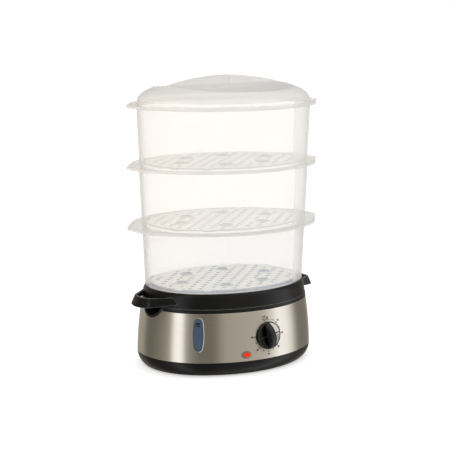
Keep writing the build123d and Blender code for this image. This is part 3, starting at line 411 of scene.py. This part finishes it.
def frosted(name, plastic, face, density, glow, roughness, card_turn, rim, foot=None, top=None):
    """Frosted see-through plastic. It hides more and looks greyer where it is seen along its
    face, along its edges, above the rim height, below the foot height and where a painted
    reflection of a dark card at the right lies on its front. Faces that point left take a painted
    warm reflection. The top tone, if there is one, is painted shade for level faces."""
    material, tree, shader = finish(name, face, roughness, IOR=1.49, Specular_IOR_Level=0.3)
    material.use_transparent_shadow = True
    shader.inputs["Emission Color"].default_value = (*face, 1)
    cloud = grain(tree, place(tree), 14.0, 3.0)
    fine = grain(tree, place(tree), 700.0, 2.0)
    facing = node(tree, "ShaderNodeLayerWeight", Blend=0.5)
    grazing = combine(tree, "POWER", facing.outputs["Facing"], 2.2)
    lines = edge_mask(tree, plastic.edge_line)
    band = step_along(tree, "Z", rim, rim + rim_blend)
    normal, parts = surface_normal(tree)
    from_middle = tree.nodes.new("ShaderNodeTexCoord").outputs["Object"]
    outside = combine(tree, "GREATER_THAN", dot_product(tree, normal, from_middle), 0.0)
    # Painted reflection of the dark card, on outward faces that point right
    rightward = math.cos(card_turn)
    dark = combine(
        tree, "MULTIPLY", outside, ranged(tree, parts["X"], rightward, rightward + card_reflection_blur)
    )
    # Painted warm reflection, on outward faces that point left
    warm = combine(tree, "MULTIPLY", outside, ranged(tree, parts["X"], warm_from, warm_full))

    tone = blend_colours(tree, cloud, shade(face, 0.975), face)
    layers = [(band, plastic.lid_tone)]
    # Painted shade on level faces
    if top is not None:
        layers.append((ranged(tree, parts["Z"], level_from, level_full), top))
    layers += [
        # Painted warm reflection
        (warm, plastic.warm_tone),
        (combine(tree, "MULTIPLY", grazing, 0.8), plastic.clear_edge),
        # Painted reflection of the dark card
        (combine(tree, "MULTIPLY", dark, 0.8), plastic.clear_edge),
        (lines, plastic.line_tone),
    ]
    for mask, colour in layers:
        tone = blend_colours(tree, mask, tone, colour)
    tree.links.new(tone, shader.inputs["Base Color"])

    hides = spread(tree, band, density, density + plastic.rim_density)
    greater = [(grazing, plastic.edge_density), (dark, plastic.card_density),
               (lines, plastic.line_density)]
    if foot is not None:
        greater.append((step_along(tree, "Z", foot, foot - foot_blend), plastic.foot_density))
    for mask, most in greater:
        hides = combine(tree, "MAXIMUM", hides, combine(tree, "MULTIPLY", mask, most))
    light = tree.nodes.new("ShaderNodeLightPath")
    thin = spread(tree, light.outputs["Is Shadow Ray"], 1.0, 0.25)
    tree.links.new(combine(tree, "MULTIPLY", thin, hides), shader.inputs["Alpha"])

    clear = combine(tree, "SUBTRACT", 1.0, combine(tree, "MAXIMUM", lines, grazing))
    tree.links.new(combine(tree, "MULTIPLY", clear, glow), shader.inputs["Emission Strength"])
    tree.links.new(spread(tree, fine, roughness - 0.04, roughness + 0.06), shader.inputs["Roughness"])
    roughen(tree, shader, fine, 0.05, 0.0002)
    return material


def holed(name, plastic, hole_shade_tone):
    """Frosted plate whose holes' upright walls are painted with what lies under it: painted shade, in
    the tray's blue under the lowest floor.
    """
    material, tree, shader = finish(name, plastic.floor_tone, 0.45, IOR=1.49, Specular_IOR_Level=0.3)
    material.use_transparent_shadow = True
    fine = grain(tree, place(tree), 700.0, 2.0)
    cloud = grain(tree, place(tree), 20.0, 3.0)
    _, parts = surface_normal(tree)
    # Painted shade on the hole walls, the upright faces
    upright = combine(tree, "LESS_THAN", combine(tree, "ABSOLUTE", parts["Z"], 0.0), 0.5)
    tone = blend_colours(tree, cloud, shade(plastic.floor_tone, 0.96), plastic.floor_tone)
    tone = blend_colours(tree, upright, tone, hole_shade_tone)
    tree.links.new(tone, shader.inputs["Base Color"])
    light = tree.nodes.new("ShaderNodeLightPath")
    thin = spread(tree, light.outputs["Is Shadow Ray"], plastic.floor_density, 0.15)
    tree.links.new(thin, shader.inputs["Alpha"])
    shader.inputs["Emission Color"].default_value = (*plastic.floor_tone, 1)
    glow = combine(tree, "MULTIPLY", combine(tree, "SUBTRACT", 1.0, upright), plastic.floor_glow)
    tree.links.new(glow, shader.inputs["Emission Strength"])
    roughen(tree, shader, fine, 0.05, 0.0002)
    return material


def dress(material, *names):
    """Give CAD nodes a finish."""
    for name in names:
        slots = nodes[name].data.materials
        if len(slots):
            for index in range(len(slots)):
                slots[index] = material
        else:
            slots.append(material)


# ------------------------------------------------------------------ shapes


def new_piece(name, mesh, material, body):
    """A finished mesh object that rides on a body."""
    obj = bpy.data.objects.new(name, mesh)
    bpy.context.scene.collection.objects.link(obj)
    mesh.materials.clear()
    mesh.materials.append(material)
    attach(obj, body)
    return obj


def band_profile(height):
    """How far the steel's face stands outside its foot at a height, and how it slopes there."""
    tall = band_high.z - band_low.z
    part = (height - band_low.z) / tall
    grow = 4 * band_bulge * part * (1 - part) - band_lean * part
    return grow, (band_lean - 4 * band_bulge * (1 - 2 * part)) / tall


def band_point(x, height, proud=0.0):
    """Point on the steel's front face, or that far in front of it."""
    grow, slope = band_profile(height)
    radius = side_radius + grow
    depth = math.sqrt(radius**2 - x**2)
    out = Vector((x / radius, -depth / radius, slope)).normalized()
    return Vector((x, side_centre - depth, height)) + out * proud


def on_band(mesh, proud):
    """Lay a flat mesh, drawn in (right, up) round the dial's centre, on the steel's front."""
    for vertex in mesh.vertices:
        x, up = vertex.co.x, vertex.co.y
        vertex.co = band_point(x, dial_height + up, proud + vertex.co.z)


def on_window(mesh, proud):
    """Lay a flat mesh, drawn in (right, up) round the window's centre, on the window."""
    grow, slope = band_profile(window_height)
    way = Vector((math.cos(window_turn), math.sin(window_turn), 0))
    centre = way * (end_radius + grow) + Vector((-end_centre, 0, window_height))
    out = (way + Vector((0, 0, slope))).normalized()
    right = Vector((-way.y, way.x, 0))
    up = out.cross(right)
    for vertex in mesh.vertices:
        vertex.co = centre + right * vertex.co.x + up * vertex.co.y + out * (window_rise + proud)


def bar_mesh(mesh, centre, angle, long, wide):
    """Add a flat bar to a bmesh."""
    along = Vector((math.cos(angle), math.sin(angle), 0)) * long / 2
    across = Vector((-math.sin(angle), math.cos(angle), 0)) * wide / 2
    corners = [centre + along + across, centre - along + across,
               centre - along - across, centre + along - across]
    mesh.faces.new([mesh.verts.new(corner) for corner in corners])


def arc_mesh(mesh, centre, radius, wide, start, turn, steps=24):
    """Add a flat arc band to a bmesh."""
    rings = []
    for step in range(steps + 1):
        angle = start + turn * step / steps
        way = Vector((math.cos(angle), math.sin(angle), 0))
        rings.append([mesh.verts.new(centre + way * (radius + side * wide / 2)) for side in (-1, 1)])
    for first, second in zip(rings, rings[1:]):
        mesh.faces.new([first[0], first[1], second[1], second[0]])


def text_mesh(text, height, digit_share=0.7, boldness=0.08):
    """Flat mesh of a short text, centred. Digits are that share of the letter size high, and
    are thickened by that share of their height."""
    curve = bpy.data.curves.new("lettering", "FONT")
    curve.body = text
    curve.size = height / digit_share
    curve.align_x = "CENTER"
    curve.align_y = "CENTER"
    curve.offset = height * boldness
    carrier = bpy.data.objects.new("lettering", curve)
    bpy.context.scene.collection.objects.link(carrier)
    bpy.context.view_layer.update()
    mesh = bpy.data.meshes.new_from_object(
        carrier.evaluated_get(bpy.context.evaluated_depsgraph_get())
    )
    bpy.data.objects.remove(carrier)
    bpy.data.curves.remove(curve)
    return mesh


# ------------------------------------------------------------------ operators


class STEAMER_OT_stage(bpy.types.Operator):
    """Lay the floor, set the lights and place the camera"""

    bl_idname = "steamer.stage"
    bl_label = "Floor, Lights and Camera"

    # Brightness of the studio by direction, in turns from -X through -Y. Bright cards stand at
    # the left and the right of the front, with dark cards beside them.
    surround = (
        (0.0, 1.15), (0.008, 1.55), (0.046, 1.55), (0.066, 0.5), (0.09, 0.33), (0.14, 0.215),
        (0.19, 0.215), (0.213, 0.5), (0.3, 0.57), (0.34, 0.62), (0.375, 0.95), (0.39, 1.46),
        (0.42, 1.46), (0.446, 1.2), (0.464, 0.66), (0.482, 0.26), (0.55, 0.25), (0.6, 0.45),
        (0.79, 0.45), (0.83, 0.19), (0.875, 0.2), (0.936, 0.31), (0.974, 0.46), (0.99, 0.7),
        (1.0, 1.15),
    )
    # Name, size, stand and aim of each soft lamp
    lamps = (
        ("key", (1.2, 1.4), (-1.6, -1.5, 1.5), (0, 0, 0.15)),
        ("fill", (0.8, 1.6), (1.7, -1.2, 0.9), (0, 0, 0.2)),
    )

    def card_tone(self, bright):
        """Colour of a card: a dim one is warmer than a bright one."""
        return bright, bright * (0.915 + 0.061 * bright), bright * (0.75 + 0.192 * bright), 1

    def surround_ramp(self, tree, direction):
        """Brightness of the studio seen in a direction."""
        parts = node(tree, "ShaderNodeSeparateXYZ", Vector=direction).outputs
        angle = combine(tree, "ARCTAN2", parts["Y"], parts["X"])
        ramp = node(tree, "ShaderNodeValToRGB", Fac=ranged(tree, angle, -math.pi, math.pi))
        stops = ramp.color_ramp.elements
        while len(stops) < len(self.surround):
            stops.new(0.5)
        for stop, (turn, bright) in zip(stops, self.surround):
            stop.position = turn
            stop.color = self.card_tone(bright)
        return ramp.outputs["Color"]

    def seen(self, tree, light):
        """1 for the camera's rays and for those that come through something clear."""
        return combine(
            tree, "MAXIMUM", light.outputs["Is Camera Ray"], light.outputs["Is Transmission Ray"]
        )

    def mixed(self, tree, factor, first, second):
        """Mix of two shaders."""
        mix = tree.nodes.new("ShaderNodeMixShader")
        for socket, source in zip(mix.inputs, (factor, first, second)):
            tree.links.new(source, socket)
        return mix.outputs[0]

    def make_floor(self, settings):
        half = settings.floor_size / 2
        mesh = bpy.data.meshes.new("floor")
        mesh.from_pydata(
            [(-half, -half, 0), (half, -half, 0), (half, half, 0), (-half, half, 0)], [], [(0, 1, 2, 3)]
        )
        material, tree, shader = finish("pale_floor", settings.floor_colour, 0.7)
        wear = grain(tree, place(tree), 3.0, 4.0)
        tone = blend_colours(
            tree, wear, shade(settings.floor_colour, 0.985), shade(settings.floor_colour, 1.01)
        )
        tree.links.new(tone, shader.inputs["Base Color"])
        light = tree.nodes.new("ShaderNodeLightPath")
        shader.inputs["Emission Color"].default_value = (1, 1, 1, 1)
        glow = spread(tree, self.seen(tree, light), 0.0, settings.floor_glow)
        tree.links.new(glow, shader.inputs["Emission Strength"])
        through = tree.nodes.new("ShaderNodeBsdfTransparent")
        mix = self.mixed(
            tree, light.outputs["Is Glossy Ray"], shader.outputs[0], through.outputs[0]
        )
        tree.links.new(mix, tree.nodes["Material Output"].inputs["Surface"])
        floor = bpy.data.objects.new("floor", mesh)
        mesh.materials.append(material)
        bpy.context.scene.collection.objects.link(floor)

    def make_world(self, settings):
        world = bpy.data.worlds.new("studio")
        bpy.context.scene.world = world
        world.use_nodes = True
        tree = world.node_tree
        even = tree.nodes["Background"]
        even.inputs["Color"].default_value = (1, 0.995, 0.985, 1)
        even.inputs["Strength"].default_value = settings.room_light
        light = tree.nodes.new("ShaderNodeLightPath")
        where = tree.nodes.new("ShaderNodeTexCoord")
        ramp = self.surround_ramp(tree, where.outputs["Generated"])
        cards = node(tree, "ShaderNodeBackground", Color=ramp)
        white = node(tree, "ShaderNodeBackground", Color=(1, 1, 1, 1), Strength=1.0)
        mix = self.mixed(tree, light.outputs["Is Glossy Ray"], even.outputs[0], cards.outputs[0])
        mix = self.mixed(tree, self.seen(tree, light), mix, white.outputs[0])
        tree.links.new(mix, tree.nodes["World Output"].inputs["Surface"])

    def make_lamp(self, name, power, size, stand, aim):
        lamp = bpy.data.lights.new(name, "AREA")
        lamp.energy = power
        lamp.shape = "RECTANGLE"
        lamp.size, lamp.size_y = size
        obj = bpy.data.objects.new(name, lamp)
        bpy.context.scene.collection.objects.link(obj)
        obj.location = stand
        obj.rotation_mode = "QUATERNION"
        obj.rotation_quaternion = (Vector(aim) - Vector(stand)).to_track_quat("-Z", "Y")
        obj.visible_glossy = False
        obj.visible_camera = False

    def make_camera(self, settings):
        data = bpy.data.cameras.new("camera")
        data.lens = settings.lens
        data.sensor_width = 36.0
        data.clip_start, data.clip_end = 0.05, 200.0
        camera = bpy.data.objects.new("camera", data)
        bpy.context.scene.collection.objects.link(camera)
        turn, rise = settings.turn, settings.rise
        back = Vector((
            math.sin(turn) * math.cos(rise), -math.cos(turn) * math.cos(rise), math.sin(rise)
        ))
        camera.location = Vector(settings.aim) + back * settings.distance
        camera.rotation_mode = "QUATERNION"
        camera.rotation_quaternion = (-back).to_track_quat("-Z", "Y")
        bpy.context.scene.camera = camera

    def execute(self, context):
        settings = context.scene.steamer_studio
        self.make_camera(settings)
        self.make_floor(settings)
        self.make_world(settings)
        for (name, size, stand, aim), power in zip(
            self.lamps, (settings.key_power, settings.fill_power)
        ):
            self.make_lamp(name, power, size, stand, aim)
        context.scene.view_settings.view_transform = "Standard"
        return {"FINISHED"}


class STEAMER_OT_base(bpy.types.Operator):
    """Finish the base: steel band, housing, lower trim, feet and screws"""

    bl_idname = "steamer.base"
    bl_label = "Base"

    def execute(self, context):
        metal, plastic = context.scene.steamer_metal, context.scene.steamer_plastic
        dress(brushed_steel(metal), "steel_band")
        # The black parts get painted highlights along their edges
        dress(
            moulded("black_plastic", plastic.black, plastic.black_roughness, 0.1, 1400.0, 0.0007,
                    Specular_IOR_Level=0.24),
            "base_housing", "bottom_cover", "handle_ring",
        )
        dress(moulded("foot_rubber", (0.02, 0.02, 0.02), 0.75, 0.3, 700.0), "rubber_feet")
        dress(plain_metal("screw_steel", (0.55, 0.55, 0.56), 0.32),
              "cover_screws", "clamp_screws", "timer_screws")
        dress(moulded("gland_rubber", (0.015, 0.015, 0.015), 0.6, 0.25, 800.0), "cord_bush")
        return {"FINISHED"}


class STEAMER_OT_inner_parts(bpy.types.Operator):
    """Finish the heater, the bowl, the timer and the parts behind the front"""

    bl_idname = "steamer.inner_parts"
    bl_label = "Inner Parts"

    def execute(self, context):
        dress(moulded("bowl_black", (0.016, 0.016, 0.017), 0.45, 0.15, 900.0), "water_bowl")
        dress(moulded("seal_rubber", (0.35, 0.09, 0.04), 0.55, 0.2, 600.0), "heater_seal")
        dress(plain_metal("plate_aluminium", (0.72, 0.72, 0.73), 0.35), "heater_plate")
        dress(plain_metal("clamp_steel", (0.5, 0.5, 0.51), 0.4), "heater_clamp")
        dress(plain_metal("element_steel", (0.3, 0.27, 0.25), 0.45, 250.0), "heating_element")
        dress(plain_metal("thermostat_cap", (0.6, 0.6, 0.61), 0.35), "thermostat")
        dress(moulded("fuse_sleeve", (0.75, 0.71, 0.6), 0.6, 0.3, 1500.0), "thermal_fuse")
        dress(moulded("ring_grey", (0.1, 0.105, 0.115), 0.4, 0.12, 900.0), "steam_ring")
        dress(moulded("timer_white", (0.75, 0.74, 0.7), 0.4, 0.1, 900.0), "timer_body")
        dress(plain_metal("bell_metal", (0.66, 0.64, 0.58), 0.2), "timer_bell")
        dress(plain_metal("shaft_brass", (0.7, 0.5, 0.22), 0.3), "timer_shaft")
        dress(moulded("terminal_white", (0.8, 0.78, 0.73), 0.45, 0.1, 900.0), "terminal_block")
        dress(moulded("lamp_glass", (0.8, 0.5, 0.4), 0.1, 0.02, 300.0, Alpha=0.6), "neon_lamp")
        return {"FINISHED"}


class STEAMER_OT_dial(bpy.types.Operator):
    """Print the minute marks, their numbers and the clock sign on the steel"""

    bl_idname = "steamer.dial"
    bl_label = "Dial Print"

    minutes = 60
    sweep = math.radians(270)
    tick_wide, tick_long, tick_short = 0.0015, 0.0019, 0.0015
    line_wide = 0.00022
    zero_inset = 0.0014
    clock_place = Vector((-0.0046, 0.0244, 0))
    clock_radius, clock_stroke = 0.003, 0.0011
    hand_wide, hand_up, hand_right = 0.0008, 0.0019, 0.0016
    longest_edge = 0.0012

    def angle(self, minute):
        return math.pi / 2 - self.sweep * minute / self.minutes

    def execute(self, context):
        settings = context.scene.steamer_front
        ink = moulded("dial_ink", settings.print_colour, 0.45, 0.05, 1500.0)
        work = bmesh.new()
        for minute in range(0, self.minutes + 1, 5):
            angle = self.angle(minute)
            way = Vector((math.cos(angle), math.sin(angle), 0))
            whole = minute % 10 == 0
            long = self.tick_long if whole else self.tick_short
            bar_mesh(work, way * settings.tick_radius, angle, long, self.tick_wide)
            if whole:
                number = text_mesh(str(minute), settings.number_height)
                centre = way * (settings.number_radius - (0.0 if minute else self.zero_inset))
                for vertex in number.vertices:
                    vertex.co += centre
                work.from_mesh(number)
                bpy.data.meshes.remove(number)
        ring_from, ring_turn = self.angle(0), self.angle(self.minutes) - self.angle(0)
        arc_mesh(work, Vector(), settings.tick_radius, self.line_wide, ring_from, ring_turn, 90)
        clock = self.clock_place
        arc_mesh(
            work, clock, self.clock_radius, self.clock_stroke, math.radians(50), math.radians(325)
        )
        off = self.hand_wide
        bar_mesh(work, clock + Vector((0, off, 0)), math.pi / 2, self.hand_up, self.hand_wide)
        bar_mesh(work, clock + Vector((off, 0, 0)), 0.0, self.hand_right, self.hand_wide)
        for face in work.faces:
            face.normal_update()
            if face.normal.z < 0:
                face.normal_flip()
        bmesh.ops.subdivide_edges(
            work, edges=[e for e in work.edges if e.calc_length() > self.longest_edge], cuts=1
        )
        mesh = bpy.data.meshes.new("dial_print")
        work.to_mesh(mesh)
        work.free()
        on_band(mesh, print_proud)
        new_piece("dial_print", mesh, ink, base_body)
        return {"FINISHED"}


class STEAMER_OT_knob(bpy.types.Operator):
    """Finish the control knob, its polished face and its index"""

    bl_idname = "steamer.knob"
    bl_label = "Control Knob"

    # The face is painted with reflections: bright above the index, greyer under it and dark left of
    # the blade, standing for what the polished face reflects
    bright_tones = (0.78, 0.78, 0.78), (0.86, 0.86, 0.85)
    under_tone = (0.42, 0.42, 0.42)
    left_tone = (0.02, 0.02, 0.02)
    index_blur, blade_blur = 0.004, 0.001

    def past_line(self, tree, parts, main, other, slope, start, blur):
        """Goes from 0 to 1 where one coordinate plus a share of another passes a value."""
        total = combine(tree, "MULTIPLY", parts.outputs[other], slope)
        total = combine(tree, "ADD", total, parts.outputs[main])
        return ranged(tree, total, start - blur, start)

    def execute(self, context):
        black = moulded(
            "knob_black", (0.017, 0.017, 0.017), 0.38, 0.02, 900.0, Specular_IOR_Level=0.35
        )
        dress(black, "control_knob")
        material, tree, shader = finish("knob_metal", (0.7, 0.7, 0.7), 0.2, Metallic=1.0)
        where = node(tree, "ShaderNodeTexCoord")
        parts = node(tree, "ShaderNodeSeparateXYZ", Vector=where.outputs["Object"])
        fine = grain(tree, place(tree), 900.0, 2.0)
        # Painted reflections on the polished face
        bright = blend_colours(tree, fine, *self.bright_tones)
        lean = math.tan(knob_turn)
        above = self.past_line(tree, parts, "Z", "X", -lean, dial_height, self.index_blur)
        tone = blend_colours(tree, above, self.under_tone, bright)
        beside = self.past_line(tree, parts, "X", "Z", lean, dial_height * lean, self.blade_blur)
        tone = blend_colours(tree, beside, self.left_tone, tone)
        tree.links.new(tone, shader.inputs["Base Color"])
        roughen(tree, shader, fine, 0.04, 0.0001)
        dress(material, "knob_face")
        dress(moulded("index_black", (0.01, 0.01, 0.01), 0.4, 0.05, 900.0), "knob_pointer")
        return {"FINISHED"}


class STEAMER_OT_lamp_and_window(bpy.types.Operator):
    """Finish the signal lamp and the water level window, with its level mark"""

    bl_idname = "steamer.lamp_and_window"
    bl_label = "Lamp and Window"

    glow_tone = (1.0, 0.02, 0.0, 1)
    dim_from, dim_to = 0.75, 1.1
    # Centre across and up on the window, length and width of the mark's two bars
    mark_bars = ((-0.0004, 0.0154, 0.006, 0.003), (-0.0006, 0.012, 0.006, 0.0016))

    def lens(self, front):
        """Red lens that glows, and less so at its rim."""
        low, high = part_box("lamp_lens")
        middle, size = (low + high) / 2, high - low
        material, tree, shader = finish("lamp_red", front.lamp_colour, 0.2, Specular_IOR_Level=0.15)
        fine = grain(tree, place(tree), 250.0, 2.0)
        where = node(tree, "ShaderNodeTexCoord")
        scaled = node(
            tree, "ShaderNodeMapping", Vector=where.outputs["Object"],
            Scale=(2 / size.x, 0, 2 / size.z),
            Location=(-2 * middle.x / size.x, 0, -2 * middle.z / size.z),
        )
        reach = node(tree, "ShaderNodeVectorMath", Vector=scaled.outputs["Vector"])
        reach.operation = "LENGTH"
        middle_glow = ranged(tree, reach.outputs["Value"], self.dim_to, self.dim_from)
        glow = combine(tree, "MULTIPLY", middle_glow, front.lamp_glow)
        tone = blend_colours(tree, fine, shade(front.lamp_colour, 0.5), shade(front.lamp_colour, 0.7))
        tree.links.new(tone, shader.inputs["Base Color"])
        shader.inputs["Emission Color"].default_value = self.glow_tone
        tree.links.new(glow, shader.inputs["Emission Strength"])
        roughen(tree, shader, fine, 0.05, 0.0003)
        return material

    def execute(self, context):
        front = context.scene.steamer_front
        dress(self.lens(front), "lamp_lens")
        dress(plain_metal("bezel_dark", (0.3, 0.3, 0.3), 0.25), "lamp_bezel")
        dress(plain_metal("bright_trim", (0.85, 0.83, 0.8), 0.12), "window_bezel")
        material, tree, shader = finish("window_blue", front.window_colour, 0.1)
        cloud = grain(tree, place(tree), 60.0, 3.0)
        tone = blend_colours(
            tree, cloud, shade(front.window_colour, 0.75), shade(front.window_colour, 1.3)
        )
        tree.links.new(tone, shader.inputs["Base Color"])
        roughen(tree, shader, cloud, 0.05, 0.0005)
        dress(material, "level_window")
        work = bmesh.new()
        for across, up, long, wide in self.mark_bars:
            bar_mesh(work, Vector((across, up, 0)), 0.0, long, wide)
        mesh = bpy.data.meshes.new("level_mark")
        work.to_mesh(mesh)
        work.free()
        on_window(mesh, print_proud)
        ink = moulded("mark_ink", front.print_colour, 0.5, 0.05, 1500.0)
        new_piece("level_mark", mesh, ink, base_body)
        return {"FINISHED"}


class STEAMER_OT_tray(bpy.types.Operator):
    """Finish the drip tray, which glows faintly in its own blue: painted light"""

    bl_idname = "steamer.tray"
    bl_label = "Drip Tray"

    def execute(self, context):
        plastic = context.scene.steamer_plastic
        # Painted light: the tray glows faintly in its own blue, though it is no lamp
        blue = moulded("blue_plastic", plastic.blue, 0.3, 0.06, 900.0, Emission_Strength=0.12,
                       Emission_Color=(*plastic.blue, 1))
        dress(blue, "drip_tray")
        return {"FINISHED"}


class STEAMER_OT_baskets(bpy.types.Operator):
    """Finish the three baskets, their floors and the lid"""

    bl_idname = "steamer.baskets"
    bl_label = "Baskets and Lid"

    # The painted card reflection turns by this much for each basket below the top one
    card_shift = math.radians(3)
    lowest_glow = 0.2
    wall_roughness, lid_roughness, lid_density = 0.42, 0.25, 0.25

    def execute(self, context):
        plastic = context.scene.steamer_plastic
        for number in (1, 2, 3):
            low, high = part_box(f"basket_{number}")
            lowest = number == 1
            walls = frosted(
                f"clear_plastic_{number}", plastic, plastic.clear, plastic.clear_density,
                plastic.clear_glow * (self.lowest_glow if lowest else 1.0), self.wall_roughness,
                plastic.card_turn + self.card_shift * (3 - number), high.z - rim_depth,
                foot=low.z + foot_height if lowest else None,
            )
            dress(walls, f"basket_{number}")
            # Hole walls take painted shade of what lies below
            under = plastic.over_tray if lowest else plastic.over_basket
            dress(holed(f"clear_floor_{number}", plastic, under), f"basket_floor_{number}")
        cover = frosted(
            "clear_lid", plastic, shade(plastic.clear, 0.98), self.lid_density,
            plastic.clear_glow, self.lid_roughness, plastic.card_turn,
            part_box("lid")[0].z + dome_foot, top=plastic.scoop_tone,
        )
        dress(cover, "lid")
        return {"FINISHED"}


class STEAMER_PT_panel(bpy.types.Panel):
    """Steps that dress the steamer, in order, with their settings"""

    bl_label = "Food Steamer"
    bl_idname = "STEAMER_PT_panel"
    bl_space_type = "VIEW_3D"
    bl_region_type = "UI"
    bl_category = "Steamer"

    def draw(self, context):
        for step in steps:
            self.layout.operator(step.bl_idname)
        for group in ("studio", "metal", "plastic", "front"):
            settings = getattr(context.scene, "steamer_" + group)
            box = self.layout.box()
            for name in settings.__annotations__:
                box.prop(settings, name)


groups = {
    "steamer_studio": SteamerStudio,
    "steamer_metal": SteamerMetal,
    "steamer_plastic": SteamerPlastic,
    "steamer_front": SteamerFront,
}
steps = (
    STEAMER_OT_stage,
    STEAMER_OT_base,
    STEAMER_OT_inner_parts,
    STEAMER_OT_dial,
    STEAMER_OT_knob,
    STEAMER_OT_lamp_and_window,
    STEAMER_OT_tray,
    STEAMER_OT_baskets,
)


def register():
    for kind in (*groups.values(), *steps, STEAMER_PT_panel):
        bpy.utils.register_class(kind)
    for name, kind in groups.items():
        setattr(bpy.types.Scene, name, PointerProperty(type=kind))


def unregister():
    for name in groups:
        delattr(bpy.types.Scene, name)
    for kind in reversed((*groups.values(), *steps, STEAMER_PT_panel)):
        bpy.utils.unregister_class(kind)


def main():
    """Run every step in order."""
    register()
    for step in steps:
        family, action = step.bl_idname.split(".")
        getattr(getattr(bpy.ops, family), action)()
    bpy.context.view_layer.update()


if __name__ == "__main__":
    main()
